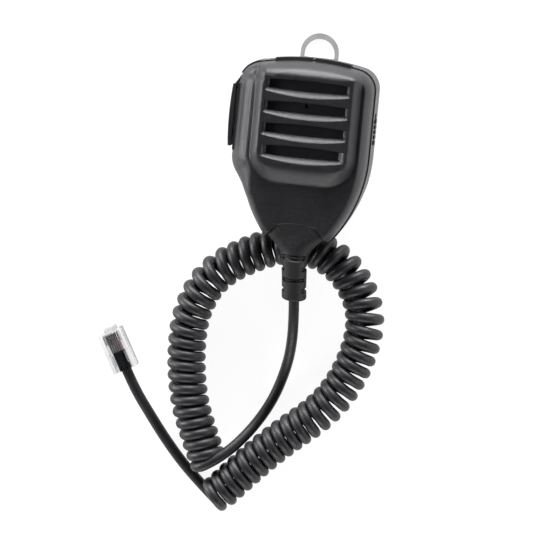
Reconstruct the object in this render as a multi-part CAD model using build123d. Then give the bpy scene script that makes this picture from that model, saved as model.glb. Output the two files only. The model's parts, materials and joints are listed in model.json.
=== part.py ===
from build123d import *
import math
import os

# Hand microphone lying on its back: +Z out of its front face, +Y towards its hanger, +X to the right
# seen from the front. The origin is on the flat back, on the case's centre line. All sizes in mm.

C = Align.CENTER
LOW = Align.MIN

# Case
CASE_HALF_WIDTH = 29.7
CASE_TOP = 36.0
CASE_TOP_CORNER = 10.0
CASE_CORNER_Y = 24.0
CASE_TAPER_START = -6.0
CASE_END = -46.0
CASE_END_HALF_WIDTH = 15.9
CASE_WALL = 2.2
BACK_EDGE_ROUND = 4.0
PARTING_HEIGHT = 20.0
SHOULDER_HEIGHT = 32.0
FRONT_INSET = 0.6
FRONT_CEILING = 29.6
TAPER_BACK_START = -13.0
TAPER_BACK_END_HEIGHT = 18.4

# Screws through the rear case into the front case, with the depth of each head in the back
SCREW_PLACES = [(-21.0, 29.0), (21.0, 29.0), (-20.0, -26.5), (20.0, -26.5)]
SCREW_HEADS = [2.4, 2.4, 10.4, 10.4]
POST_RADIUS = 3.4

# Bite for the collar in the lower end of the front shell
BITE_TOP = -39.0
BITE_SHOULDER = (9.2, -40.2)
BITE_CORNER = (13.4, -44.8)
BITE_FOOT = (16.3, -47.0)

# Posts that carry the circuit board
BOARD_POST_X = 20.0
BOARD_POST_YS = (-14.0, 20.0)

# Left side swelling that carries the talk lever
POD_SIDE = -33.8
POD_HIGH = 23.4
POD_CORNER_MIDDLE = (-30.8, 30.1)
POD_LOW = -9.6
POD_FOOT = -29.0
POD_SLOPE_TOP = -25.2
LEVER_BAY_LOW = -8.6
LEVER_BAY_HIGH = 22.6
LEVER_BAY_FLOOR = -31.0
LEVER_BAY_BACK = 6.6
BAY_BLOCK_INNER = -28.8

# Raised pad with its four blind slots
PAD_HALF_WIDTH = 24.8
PAD_TOP = 34.6
PAD_BOTTOM = -20.6
PAD_TOP_CORNER = 6.0
PAD_LOW_CORNER = 14.0
PAD_ROUND = 1.2
PAD_HEIGHT = 36.0
PAD_DRAFT = 26.0
SLOT_CENTRES = (24.2, 14.1, 4.0, -6.1)
SLOT_HALF_WIDTHS = (19.2, 19.2, 19.2, 18.0)
SLOT_CROWN = 0.7
SLOT_BOW = 2.0
SLOT_HALF_HEIGHT = 2.2
SLOT_DEPTH = 3.0
LIP_HEIGHT = 1.8
LIP_DEPTH = 1.2
PINHOLE_Y = 14.8
PINHOLE_RADIUS = 0.5

# Talk lever, its pin and its plunger
LEVER_LOW = -6.9
LEVER_HIGH = 21.6
LEVER_OUTER = -36.7
LEVER_THICK = 1.8
LEVER_BACK = 7.4
LEVER_FRONT = 22.6
LEVER_PIN_X = -31.6
LEVER_PIN_Y = 24.4
LEVER_PIN_RADIUS = 0.9
KNUCKLE_RADIUS = 1.9
KNUCKLE_FRONT = 19.4
PLUNGER_Y = -1.0
PLUNGER_Z = 16.6
PLUNGER_RADIUS = 1.2
RUNNING_GAP = 0.05

# Keys on the top edge
KEY_ROW_HALF = 17.5
KEY_GAP = 0.7
KEY_BACK = 16.9
KEY_FRONT = 22.3
KEY_PROUD = 0.95

# Lock slider on the right side
SLIDER_LOW = -0.6
SLIDER_LENGTH = 11.6
SLIDER_MID_Z = 12.0
SLIDER_HALF_Z = 2.4

# Electronics
BOARD_BACK = 13.0
BOARD_THICK = 1.6
CAPSULE_RADIUS = 4.8
CAPSULE_FRONT = 28.2

# Cord
CORD_DIAMETER = 4.9
COIL_DIAMETER = 18.4
BOOT_AXIS_Z = 26.0
# Sections of the collar, each by its place along Y, width, height and corner radius
COLLAR_SECTIONS = [
    (-38.4, 26.0, 11.2, 3.9),
    (-43.4, 26.0, 11.4, 4.4),
    (-48.4, 18.6, 12.4, 5.6),
    (-54.4, 13.5, 13.5, 6.6),
]
BOOT_NECK_Y = -54.0
BOOT_DROOP = 12.0
BOOT_SWAY = 3.5
BOOT_LENGTH = 21.0
BOOT_NECK_RADIUS = 6.55
BOOT_END_RADIUS = 5.5

# Saddle that grips the cord inside the case
CLAMP_LOW = -36.2
CLAMP_HIGH = -32.4
CLAMP_FOOT = 19.0
CLAMP_TOP = 29.4
CLAMP_SCREW_X = 5.7

# Hanger
HANGER_HALF_WIDTH = 8.85
HANGER_LEG = 1.9
HANGER_APEX_BAND = 2.7
HANGER_APEX = 47.3
HANGER_BACK = 0.1
HANGER_FRONT = 1.3
HANGER_LOW = 10.0
HANGER_EYE_LOW = 36.0
HANGER_SCREWS = [(0.0, 30.0), (0.0, 17.0)]

# Modular plug
PLUG_REAR = (-75.5, -117.3)
PLUG_HEADING = 118.9
PLUG_LENGTH = 21.4
PLUG_WIDTH = 11.7
PLUG_BOTTOM = 3.3
PLUG_HEIGHT = 8.0
PLUG_ENTRY_Z = 7.3
LATCH_HINGE_X = 20.2

# The cord from the boot to the first turn of the coil: down to the table and up again onto the coil.
TAIL_BOOT_ROUTE = [
    (1.25, -74.5, 21.63),
    (1.96, -86.1, 19.16),
    (0.8, -100.0, 10.6),
    (-1.9, -111.8, 4.6),
    (-6.2, -124.6, 2.6),
    (-12.3, -135.8, 5.2),
    (-18.8, -144.5, 10.9),
    (-26.0, -151.7, 14.9),
    (-35.2, -158.0, 15.6),
]

# The middle line of the curly stretch, from the left leg over the top to the end of the right leg.
COIL_ROUTE = [
    (-32.7, -156.0),
    (-40.0, -140.5),
    (-45.5, -125.1),
    (-48.2, -105.3),
    (-47.6, -86.5),
    (-39.6, -68.7),
    (-24.5, -58.0),
    (-2.1, -48.4),
    (19.9, -56.1),
    (32.0, -72.3),
    (34.5, -87.4),
    (29.5, -107.8),
    (19.0, -125.6),
    (0.2, -141.3),
    (-14.0, -155.6),
    (-28.2, -171.6),
]

# The cord from the last turn of the coil to the plug, lying on the table.
TAIL_PLUG_ROUTE = [
    (-25.2, -177.2, 2.5),
    (-35.4, -168.5, 2.5),
    (-45.6, -159.1, 2.5),
    (-55.1, -148.3, 2.5),
    (-63.3, -137.0, 4.2),
    (-70.5, -126.3, 7.3),
    (-75.5, -117.3, 7.3),
]


def box(low, high):
    size = [h - l for l, h in zip(low, high)]
    middle = [(l + h) / 2 for l, h in zip(low, high)]
    return Pos(*middle) * Box(*size)


def rod(start, end, radius):
    along = Vector(*end) - Vector(*start)
    return extrude(Plane(origin=start, z_dir=along) * Circle(radius), along.length)


def slab(face, low, high):
    return extrude(Pos(0, 0, low) * face, high - low)


def crown_radius():
    """Radius of the crowned top edge that runs smoothly into the corner arcs."""
    corner_x = CASE_HALF_WIDTH - CASE_TOP_CORNER
    drop = CASE_TOP - CASE_CORNER_Y
    return (corner_x**2 + drop**2 - CASE_TOP_CORNER**2) / (2 * (drop - CASE_TOP_CORNER))


def case_face():
    """Outline of the case without the lever side's swelling, symmetric about X = 0."""
    corner_x = CASE_HALF_WIDTH - CASE_TOP_CORNER
    crown = crown_radius()
    reach = CASE_TOP_CORNER / (crown - CASE_TOP_CORNER)
    meet = (corner_x * (1 + reach), CASE_CORNER_Y + (CASE_CORNER_Y - CASE_TOP + crown) * reach)
    narrowing = CASE_HALF_WIDTH - CASE_END_HALF_WIDTH
    side_radius = (narrowing**2 + (CASE_TAPER_START - CASE_END) ** 2) / (2 * narrowing)
    top_arc = ThreePointArc((-meet[0], meet[1]), (0, CASE_TOP), meet)
    right = [
        RadiusArc(meet, (CASE_HALF_WIDTH, CASE_CORNER_Y), CASE_TOP_CORNER),
        Line((CASE_HALF_WIDTH, CASE_CORNER_Y), (CASE_HALF_WIDTH, CASE_TAPER_START)),
        RadiusArc((CASE_HALF_WIDTH, CASE_TAPER_START), (CASE_END_HALF_WIDTH, CASE_END), side_radius),
    ]
    left = [edge.mirror(Plane.YZ) for edge in right]
    foot = Line((CASE_END_HALF_WIDTH, CASE_END), (-CASE_END_HALF_WIDTH, CASE_END))
    return make_face(Curve() + [top_arc, foot] + right + left)


def pod_face():
    """Swelling of the left side, overlapping the case outline."""
    edges = [
        ThreePointArc((-23.6, 33.4), POD_CORNER_MIDDLE, (POD_SIDE, POD_HIGH)),
        Line((POD_SIDE, POD_HIGH), (POD_SIDE, POD_LOW)),
        ThreePointArc((POD_SIDE, POD_LOW), (-32.5, -16.4), (-29.4, -20.7)),
        Polyline((-29.4, -20.7), (-26.6, -24.4), (-24.6, POD_FOOT), (-15.0, -20.0), (-15.0, 30.0), (-23.6, 33.4)),
    ]
    return make_face(Curve() + edges)


def whole_face():
    return case_face() + pod_face()


def back_taper(lift):
    """Space under the sloping lower end of the back, raised by lift."""
    low = -1.0
    slope = TAPER_BACK_END_HEIGHT / (TAPER_BACK_START - CASE_END)
    reach = CASE_END - 2.0
    high = (TAPER_BACK_START - reach) * slope
    profile = Polyline(
        (TAPER_BACK_START, lift),
        (reach, high + lift),
        (reach, low),
        (TAPER_BACK_START, low),
        close=True,
    )
    return extrude(Plane.YZ * make_face(profile), 60, both=True)


def lever_bay():
    """Open bay in the left side of the case in which the talk lever swings."""
    bay = box(
        (POD_SIDE - 10, LEVER_BAY_LOW, LEVER_BAY_BACK),
        (LEVER_BAY_FLOOR, LEVER_BAY_HIGH, PARTING_HEIGHT + 0.2),
    )
    knuckle_room = box(
        (POD_SIDE - 10, LEVER_BAY_HIGH - 1, LEVER_BAY_BACK),
        (LEVER_PIN_X + 2.4, LEVER_PIN_Y + 2.4, PARTING_HEIGHT + 0.2),
    )
    return bay + knuckle_room


def bay_block():
    """Solid round the lever bay that the hollow of the case leaves standing."""
    return box((POD_SIDE - 10, LEVER_BAY_LOW - 2.2, -1), (BAY_BLOCK_INNER, LEVER_PIN_Y + 4.6, 40))


def lever_pin_hole():
    return rod(
        (LEVER_PIN_X, LEVER_PIN_Y, 3.4),
        (LEVER_PIN_X, LEVER_PIN_Y, 22.6),
        LEVER_PIN_RADIUS,
    )


def plunger_hole():
    return rod(
        (LEVER_BAY_FLOOR - 1, PLUNGER_Y, PLUNGER_Z),
        (BAY_BLOCK_INNER + 1, PLUNGER_Y, PLUNGER_Z),
        PLUNGER_RADIUS + RUNNING_GAP,
    )


def key_window(gap):
    return box(
        (-KEY_ROW_HALF - gap, 30.0, KEY_BACK - gap),
        (KEY_ROW_HALF + gap, CASE_TOP + 3, KEY_FRONT + gap),
    )


def collar_room(gap):
    """Space in the lower end of the case that the collar of the cord boot fills."""
    room = Plane.XZ.offset(38.0 - gap) * Pos(0, BOOT_AXIS_Z) * RectangleRounded(
        26.4 + 2 * gap, 11.6 + 2 * gap, 4.0
    )
    return extrude(room, 14.0)


def rear_case():
    body = slab(whole_face(), 0, PARTING_HEIGHT)
    body = fillet(body.edges().group_by(Axis.Z)[0], BACK_EDGE_ROUND)
    body -= back_taper(0.0)
    hollow = slab(offset(whole_face(), amount=-CASE_WALL), CASE_WALL, PARTING_HEIGHT + 1)
    hollow = hollow - back_taper(CASE_WALL + 0.8) - bay_block()
    body -= hollow
    for (x, y), head in zip(SCREW_PLACES, SCREW_HEADS):
        post = PARTING_HEIGHT - head + 1.2
        body += Pos(x, y, head - 1.2) * Cylinder(POST_RADIUS, post, align=(C, C, LOW))
    body -= back_taper(0.0)
    for (x, y), head in zip(SCREW_PLACES, SCREW_HEADS):
        body -= Pos(x, y, -1) * Cylinder(2.9, head + 1, align=(C, C, LOW))
        body -= Pos(x, y, 0) * Cylinder(1.55, PARTING_HEIGHT + 1, align=(C, C, LOW))
    for x in (-BOARD_POST_X, BOARD_POST_X):
        for y in BOARD_POST_YS:
            body += Pos(x, y, 1.0) * Cylinder(2.6, BOARD_BACK - 1.0, align=(C, C, LOW))
            body -= Pos(x, y, BOARD_BACK - 6.0) * Cylinder(0.9, 7.0, align=(C, C, LOW))
    body += box((-7.4, CLAMP_LOW, 8.0), (7.4, CLAMP_HIGH, CLAMP_FOOT)) - back_taper(1.0)
    for x in (-CLAMP_SCREW_X, CLAMP_SCREW_X):
        thread = Cylinder(0.8, 5.0, align=(C, C, LOW))
        body -= Pos(x, (CLAMP_LOW + CLAMP_HIGH) / 2, CLAMP_FOOT - 3.4) * thread
    body -= lever_bay() + lever_pin_hole() + plunger_hole()
    body -= key_window(0.25)
    body -= box((20, SLIDER_LOW - 0.3, SLIDER_MID_Z - 2.6), (40, 13.7, SLIDER_MID_Z + 2.6))
    body += box((-10.5, 8.0, 1.0), (10.5, CASE_TOP - 1.4, HANGER_FRONT + 2.0))
    for x, y in HANGER_SCREWS:
        body += Pos(x, y, 2.0) * Cylinder(2.6, 5.4, align=(C, C, LOW))
        body -= Pos(x, y, 0.0) * Cylinder(1.0, 6.4, align=(C, C, LOW))
    body -= hanger_recess()
    body -= collar_room(0.15)
    return body


def slot_face(half, centre, bottom_bow, top_cut):
    """Slot outline: a slightly crowned top edge over a bowed bottom edge."""
    top = centre + SLOT_HALF_HEIGHT
    low = centre - SLOT_HALF_HEIGHT + top_cut
    edges = [
        ThreePointArc((-half, top), (0, top + SLOT_CROWN), (half, top)),
        Line((half, top), (half, low)),
        ThreePointArc((half, low), (0, low - bottom_bow), (-half, low)),
        Line((-half, low), (-half, top)),
    ]
    return make_face(Curve() + edges)


def pad_face():
    """Outline of the raised pad: small corners above, large ones below."""
    middle = (PAD_TOP + PAD_BOTTOM) / 2
    outline = Pos(0, middle) * Rectangle(2 * PAD_HALF_WIDTH, PAD_TOP - PAD_BOTTOM)
    outline = fillet(outline.vertices().group_by(Axis.Y)[-1], PAD_TOP_CORNER)
    return fillet(outline.vertices().group_by(Axis.Y)[0], PAD_LOW_CORNER)


def front_case():
    shell_face = offset(case_face(), amount=-FRONT_INSET)
    body = extrude(Pos(0, 0, PARTING_HEIGHT) * shell_face, SHOULDER_HEIGHT - PARTING_HEIGHT, taper=11)
    body = chamfer(body.edges().group_by(Axis.Z)[-1], 2.0)
    pod_section = Polyline(
        (POD_SIDE + 0.6, PARTING_HEIGHT),
        (POD_SIDE + 0.9, PARTING_HEIGHT + 2.4),
        (POD_SLOPE_TOP, SHOULDER_HEIGHT - 1.6),
        (-18.0, SHOULDER_HEIGHT - 1.6),
        (-18.0, PARTING_HEIGHT),
        close=True,
    )
    pod = extrude(Plane.XZ.offset(30) * make_face(pod_section), -70)
    pod &= slab(offset(whole_face(), amount=-FRONT_INSET), PARTING_HEIGHT, SHOULDER_HEIGHT)
    body += pod
    pad = extrude(Pos(0, 0, FRONT_CEILING) * pad_face(), PAD_HEIGHT - FRONT_CEILING, taper=PAD_DRAFT)
    body += fillet(pad.edges().group_by(Axis.Z)[-1], PAD_ROUND)
    hollow_face = offset(case_face(), amount=-FRONT_INSET - CASE_WALL - 1.6)
    hollow = slab(hollow_face, PARTING_HEIGHT - 1, FRONT_CEILING)
    hollow -= box((-40, -60, 0), (40, -36.6, 40))
    body -= hollow
    for half, centre in zip(SLOT_HALF_WIDTHS, SLOT_CENTRES):
        deep = slot_face(half, centre, SLOT_BOW * 0.7, LIP_HEIGHT * 0.3)
        shallow = slot_face(half, centre, SLOT_BOW, -LIP_HEIGHT * 0.4)
        body -= slab(deep, PAD_HEIGHT - SLOT_DEPTH, PAD_HEIGHT + 1)
        body -= slab(shallow, PAD_HEIGHT - LIP_DEPTH, PAD_HEIGHT + 1)
    for high, low in zip(SLOT_CENTRES, SLOT_CENTRES[1:]):
        rib_top = high - SLOT_HALF_HEIGHT - SLOT_BOW - LIP_HEIGHT - 0.4
        rib_low = low + SLOT_HALF_HEIGHT + SLOT_CROWN + 0.6
        if rib_top - rib_low > 0.8:
            body -= box((-17, rib_low, FRONT_CEILING - 1), (17, rib_top, PAD_HEIGHT - 2.4))
    body -= Pos(0, PINHOLE_Y, FRONT_CEILING - 1) * Cylinder(PINHOLE_RADIUS, 6, align=(C, C, LOW))
    for x, y in SCREW_PLACES:
        post = FRONT_CEILING - PARTING_HEIGHT + 0.5
        body += Pos(x, y, PARTING_HEIGHT) * Cylinder(POST_RADIUS - 0.2, post, align=(C, C, LOW))
        body -= Pos(x, y, PARTING_HEIGHT - 1) * Cylinder(1.1, 8.0, align=(C, C, LOW))
    ring = Cylinder(7.6, 5.4, align=(C, C, LOW)) - Cylinder(6.5, 5.4, align=(C, C, LOW))
    body += Pos(0, PINHOLE_Y, FRONT_CEILING - 5.2) * ring
    body -= box(
        (POD_SIDE - 10, LEVER_BAY_LOW, PARTING_HEIGHT - 1),
        (POD_SIDE + 1.5, LEVER_BAY_HIGH, SHOULDER_HEIGHT + 2),
    )
    body -= lever_pin_hole()
    body -= key_window(0.25)
    body -= scallop()
    body -= collar_room(0.15)
    body -= rod((0, -41, BOOT_AXIS_Z), (0, -35, BOOT_AXIS_Z), CORD_DIAMETER / 2 + 0.15)
    return body


def scallop():
    """Curved bite out of the front shell's lower end in which the collar lies flush."""
    side = [BITE_FOOT, BITE_CORNER, BITE_SHOULDER]
    other = [(-x, y) for x, y in side]
    edges = [
        Polyline(*side),
        ThreePointArc(side[-1], (0, BITE_TOP), other[-1]),
        Polyline(*reversed(other)),
        Line(other[0], side[0]),
    ]
    return slab(make_face(Curve() + edges), PARTING_HEIGHT - 1, SHOULDER_HEIGHT + 2)


def case_screws():
    screws = []
    for (x, y), head in zip(SCREW_PLACES, SCREW_HEADS):
        top = PARTING_HEIGHT + 6.0
        screw = Pos(x, y, head - 1.6) * Cylinder(2.5, 1.6, align=(C, C, LOW))
        screw += Pos(x, y, head) * Cylinder(1.05, top - head, align=(C, C, LOW))
        for turn in (0, 90):
            screw -= Pos(x, y, head - 1.7) * Rot(0, 0, turn) * Box(2.6, 0.6, 1.6)
        screws.append(screw)
    return Compound(screws)


def hanger_outline(low, high, grow):
    """Plate under the case, ending above its top edge in an arched loop."""
    reach = HANGER_HALF_WIDTH + grow
    centre_y = HANGER_APEX - HANGER_HALF_WIDTH
    plate = Pos(0, (HANGER_LOW + centre_y) / 2) * Rectangle(2 * reach, centre_y - HANGER_LOW + 2 * grow)
    arch = Pos(0, centre_y) * Circle(reach)
    return slab(plate + arch, low, high)


def hanger_plate():
    plate = hanger_outline(HANGER_BACK, HANGER_FRONT, 0.0)
    inner = HANGER_HALF_WIDTH - HANGER_LEG
    inner_y = HANGER_APEX - HANGER_APEX_BAND - inner
    eye = Pos(0, (HANGER_EYE_LOW + inner_y) / 2) * Rectangle(2 * inner, inner_y - HANGER_EYE_LOW)
    plate -= slab(eye + Pos(0, inner_y) * Circle(inner), -1, 3) - box((-20, 0, -2), (20, HANGER_EYE_LOW, 4))
    plate = fillet(plate.edges().filter_by(Axis.Z).group_by(Axis.Y)[0], 3.0)
    for x, y in HANGER_SCREWS:
        plate -= Pos(x, y, -1) * Cylinder(1.6, 4, align=(C, C, LOW))
    return plate


def hanger_recess():
    return hanger_outline(-1.0, HANGER_FRONT + 0.05, 0.25)


def hanger_screws():
    screws = []
    for x, y in HANGER_SCREWS:
        screw = Pos(x, y, 0.15) * Cylinder(1.5, 1.1, align=(C, C, LOW))
        screw += Pos(x, y, 1.2) * Cylinder(0.95, 5.0, align=(C, C, LOW))
        screw -= Pos(x, y, 0.1) * Box(2.0, 0.4, 1.0)
        screws.append(screw)
    return Compound(screws)


def talk_lever():
    """Bowed bar outside the bay, with a knuckle round the pin and a nub facing the plunger."""
    inner = LEVER_OUTER + LEVER_THICK
    middle = (LEVER_LOW + LEVER_HIGH) / 2
    tip = LEVER_OUTER + 0.7
    edges = [
        ThreePointArc((tip, LEVER_LOW), (LEVER_OUTER, middle), (tip, LEVER_HIGH)),
        Line((tip, LEVER_HIGH), (inner + 0.3, LEVER_HIGH)),
        Line((inner + 0.3, LEVER_HIGH), (inner + 0.3, LEVER_LOW)),
        Line((inner + 0.3, LEVER_LOW), (tip, LEVER_LOW)),
    ]
    bar = slab(make_face(Curve() + edges), LEVER_BACK, LEVER_FRONT)
    bar = fillet(bar.edges().filter_by(Axis.Y, reverse=True).group_by(Axis.X)[0], 0.4)
    arm = Polyline(
        (inner - 0.6, LEVER_HIGH - 5.0),
        (LEVER_PIN_X - 1.2, LEVER_PIN_Y - 1.4),
        (LEVER_PIN_X - 1.2, LEVER_PIN_Y + 1.4),
        (inner - 0.6, LEVER_HIGH),
        close=True,
    )
    lever = bar + slab(make_face(arm), LEVER_BACK, KNUCKLE_FRONT)
    lever += Pos(LEVER_PIN_X, LEVER_PIN_Y, LEVER_BACK) * Cylinder(
        KNUCKLE_RADIUS, KNUCKLE_FRONT - LEVER_BACK, align=(C, C, LOW)
    )
    pin_hole = Cylinder(LEVER_PIN_RADIUS + RUNNING_GAP, 40, align=(C, C, LOW))
    lever -= Pos(LEVER_PIN_X, LEVER_PIN_Y, 0) * pin_hole
    lever += rod((inner - 0.2, PLUNGER_Y, PLUNGER_Z), (inner + 1.0, PLUNGER_Y, PLUNGER_Z), 1.6)
    return lever


def talk_plunger():
    start = LEVER_OUTER + LEVER_THICK + 1.2
    inner_end = (BAY_BLOCK_INNER + 1.2, PLUNGER_Y, PLUNGER_Z)
    plunger = rod((start, PLUNGER_Y, PLUNGER_Z), inner_end, PLUNGER_RADIUS)
    plunger += rod(
        (BAY_BLOCK_INNER + 0.15, PLUNGER_Y, PLUNGER_Z), (BAY_BLOCK_INNER + 1.0, PLUNGER_Y, PLUNGER_Z), 2.2
    )
    plunger += rod((BAY_BLOCK_INNER + 0.5, PLUNGER_Y, PLUNGER_Z), (-22.6, PLUNGER_Y, PLUNGER_Z), 0.8)
    return plunger


def talk_spring():
    """Return spring between the plunger's collar and the switch body."""
    start = BAY_BLOCK_INNER + 1.15
    height = -23.6 - start
    path = Helix(pitch=height / 4, height=height, radius=1.7)
    coil = sweep(Plane(origin=path @ 0, z_dir=path % 0) * Circle(0.18), path=path)
    return Pos(start + 0.05, PLUNGER_Y, PLUNGER_Z) * Rot(0, 90, 0) * coil


def talk_switch():
    foot = BOARD_BACK + BOARD_THICK
    body = box((-23.2, PLUNGER_Y - 3.0, foot), (-16.0, PLUNGER_Y + 3.0, foot + 4.8))
    return body - rod((-24, PLUNGER_Y, PLUNGER_Z), (-20.2, PLUNGER_Y, PLUNGER_Z), 0.85)


def top_keys():
    """Two keys whose outer faces follow the case's crowned top edge."""
    keys = {}
    crown = CASE_TOP + KEY_PROUD
    for name, low, high in (("up_key", -KEY_ROW_HALF, -KEY_GAP), ("down_key", KEY_GAP, KEY_ROW_HALF)):
        middle = (low + high) / 2
        block = box((low, 32.6, KEY_BACK), (high, CASE_TOP + 3, KEY_FRONT))
        limit = slab(crown_face(crown), KEY_BACK - 1, KEY_FRONT + 1)
        block &= limit
        flange_end = math.copysign(8.0, middle)
        flange_low = min(flange_end, math.copysign(KEY_GAP, middle))
        flange_high = max(flange_end, math.copysign(KEY_GAP, middle))
        block += box((flange_low, 32.4, KEY_BACK - 0.9), (flange_high, 33.2, KEY_FRONT))
        block += box((middle - 1.5, 31.4, KEY_BACK + 1.4), (middle + 1.5, 33.0, KEY_FRONT - 1.4))
        keys[name] = block
    return keys


def crown_face(top):
    """Area under the case's crowned top edge, raised to top."""
    reach = 19.7
    drop = crown_radius() - math.sqrt(crown_radius() ** 2 - reach**2)
    arc = ThreePointArc((-reach, top - drop), (0, top), (reach, top - drop))
    rest = Polyline((reach, top - drop), (reach, 20), (-reach, 20), (-reach, top - drop))
    return make_face(Curve() + [arc, rest])


def key_switches():
    switches = []
    for x in (-9.1, 9.1):
        body = box((x - 3.0, 26.0, BOARD_BACK + BOARD_THICK), (x + 3.0, 29.8, 21.4))
        body += rod((x, 29.6, 19.6), (x, 30.5, 19.6), 1.2)
        switches.append(body)
    return Compound(switches)


def lock_slider():
    """Ribbed knob in the right wall with a tongue that reaches the slide switch."""
    low_z = SLIDER_MID_Z - SLIDER_HALF_Z
    high_z = SLIDER_MID_Z + SLIDER_HALF_Z
    high_y = SLIDER_LOW + SLIDER_LENGTH
    knob = box((26.9, SLIDER_LOW, low_z), (CASE_HALF_WIDTH + 0.7, high_y, high_z))
    for step in range(4):
        y = SLIDER_LOW + 2.3 + step * 2.33
        knob -= box((CASE_HALF_WIDTH - 0.1, y - 0.45, low_z - 1), (CASE_HALF_WIDTH + 2, y + 0.45, high_z + 1))
    knob += box((25.6, SLIDER_LOW - 1.0, low_z - 1.0), (27.2, high_y + 1.0, high_z + 1.0))
    knob += box((21.6, 4.2, 10.2), (25.8, 6.2, 11.4))
    return knob


def lock_switch():
    body = box((18.0, -0.5, 8.6), (24.4, 13.0, 12.85))
    body -= box((21.0, 3.9, 9.9), (25.0, 9.0, 11.7))
    return body


def circuit_board():
    board = Pos(0, 6.0, BOARD_BACK) * extrude(RectangleRounded(48.0, 46.0, 3.0), BOARD_THICK)
    for x in (-BOARD_POST_X, BOARD_POST_X):
        for y in BOARD_POST_YS:
            board -= Pos(x, y, 0) * Cylinder(1.2, 40, align=(C, C, LOW))
    board -= box((-25, PLUNGER_Y - 3.4, 0), (-23.4, PLUNGER_Y + 3.4, 40))
    for x in (-21.0, 21.0):
        board -= Pos(x, 29.0, 0) * Cylinder(4.0, 40, align=(C, C, LOW))
    return board


def board_screws():
    screws = []
    for x in (-BOARD_POST_X, BOARD_POST_X):
        for y in BOARD_POST_YS:
            top = BOARD_BACK + BOARD_THICK
            screw = Pos(x, y, top) * Cylinder(2.0, 1.3, align=(C, C, LOW))
            screw += Pos(x, y, top - 6.4) * Cylinder(0.85, 6.6, align=(C, C, LOW))
            screws.append(screw)
    return Compound(screws)


def capsule_holder():
    holder = Cylinder(6.4, 7.6, align=(C, C, LOW)) - Pos(0, 0, 1.0) * Cylinder(4.9, 8, align=(C, C, LOW))
    holder -= Cylinder(2.6, 3, align=(C, C, LOW))
    return Pos(0, PINHOLE_Y, FRONT_CEILING - 7.7) * holder


def mic_capsule():
    can = fillet(Cylinder(CAPSULE_RADIUS, 5.0, align=(C, C, LOW)).edges(), 0.4)
    return Pos(0, PINHOLE_Y, CAPSULE_FRONT - 5.2) * can


def dust_felt():
    return Pos(0, PINHOLE_Y, CAPSULE_FRONT - 0.1) * Cylinder(4.7, 1.3, align=(C, C, LOW))


def capsule_leads():
    leads = []
    for x in (-1.2, 1.2):
        foot = BOARD_BACK + BOARD_THICK
        leads.append(rod((x, PINHOLE_Y, foot), (x, PINHOLE_Y, CAPSULE_FRONT - 5.25), 0.35))
    return Compound(leads)


def board_socket():
    return box((-7.0, -15.6, BOARD_BACK + BOARD_THICK), (7.0, -11.0, BOARD_BACK + BOARD_THICK + 4.6))


def harness_wires():
    wires = []
    for i in range(5):
        spread = (i - 2) * 2.2
        start = (spread, -15.7, 17.0)
        close = (i - 2) * 0.95
        route = [start, (spread, -20.5, 17.0), (close, -29.0, 25.6), (close, -32.3, BOOT_AXIS_Z)]
        path = FilletPolyline(*route, radius=2.2)
        wires.append(sweep(Plane(origin=start, z_dir=(0, -1, 0)) * Circle(0.42), path=path))
    return Compound(wires)


def boot_axis(distance):
    """Point on the middle line of the boot, which droops and sways, distance beyond its neck."""
    droop = math.radians(BOOT_DROOP)
    sway = math.radians(BOOT_SWAY)
    return (
        distance * math.cos(droop) * math.sin(sway),
        BOOT_NECK_Y - distance * math.cos(droop) * math.cos(sway),
        BOOT_AXIS_Z - distance * math.sin(droop),
    )


def cord_stub():
    """The cord inside the boot and the collar."""
    end = boot_axis(BOOT_LENGTH)
    start = (0, CLAMP_HIGH, BOOT_AXIS_Z)
    path = FilletPolyline(start, (0, BOOT_NECK_Y, BOOT_AXIS_Z), end, radius=24.0)
    return sweep(Plane(origin=start, z_dir=(0, -1, 0)) * Circle(CORD_DIAMETER / 2), path=path)


def cord_boot():
    sections = []
    for y, width, height, radius in COLLAR_SECTIONS:
        sections.append(Plane.XZ.offset(-y) * Pos(0, BOOT_AXIS_Z) * RectangleRounded(width, height, radius))
    collar = extrude(sections[0], COLLAR_SECTIONS[0][0] - COLLAR_SECTIONS[1][0])
    boot = collar + loft(sections[1:])
    nose = Solid.make_cone(BOOT_NECK_RADIUS, BOOT_END_RADIUS, BOOT_LENGTH)
    nose = fillet(nose.edges().group_by(Axis.Z)[-1], 0.8)
    for step, side in ((0, False), (1, True), (2, False), (3, True)):
        along = 0.6 + 5.1 * step
        for sign in (-1, 1):
            if side:
                nose -= Pos(sign * 6.3, 0, along + 0.6) * Box(4.4, 7.6, 1.3)
            else:
                nose -= Pos(0, sign * 6.3, along + 0.6) * Box(9.6, 4.2, 1.3)
    neck = boot_axis(0.0)
    ahead = boot_axis(1.0)
    axis = Vector(*ahead) - Vector(*neck)
    boot += Plane(origin=neck, x_dir=(1, 0, 0), z_dir=axis) * nose
    return boot - cord_stub()


def cord_clamp():
    """Saddle that holds the cord's jacket behind the collar."""
    clamp = box((-7.4, CLAMP_LOW, CLAMP_FOOT), (7.4, CLAMP_HIGH, CLAMP_FOOT + 2.0))
    clamp += box((-3.9, CLAMP_LOW, CLAMP_FOOT), (3.9, CLAMP_HIGH, CLAMP_TOP))
    clamp -= rod((0, -40, BOOT_AXIS_Z), (0, -30, BOOT_AXIS_Z), CORD_DIAMETER / 2)
    for x in (-CLAMP_SCREW_X, CLAMP_SCREW_X):
        clamp -= Pos(x, (CLAMP_LOW + CLAMP_HIGH) / 2, 0) * Cylinder(1.1, 40, align=(C, C, LOW))
    return clamp


def clamp_screws():
    screws = []
    for x in (-CLAMP_SCREW_X, CLAMP_SCREW_X):
        y = (CLAMP_LOW + CLAMP_HIGH) / 2
        screw = Pos(x, y, CLAMP_FOOT + 2.0) * Cylinder(1.6, 1.2, align=(C, C, LOW))
        screw += Pos(x, y, CLAMP_FOOT - 3.2) * Cylinder(0.75, 5.4, align=(C, C, LOW))
        screws.append(screw)
    return Compound(screws)


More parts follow.
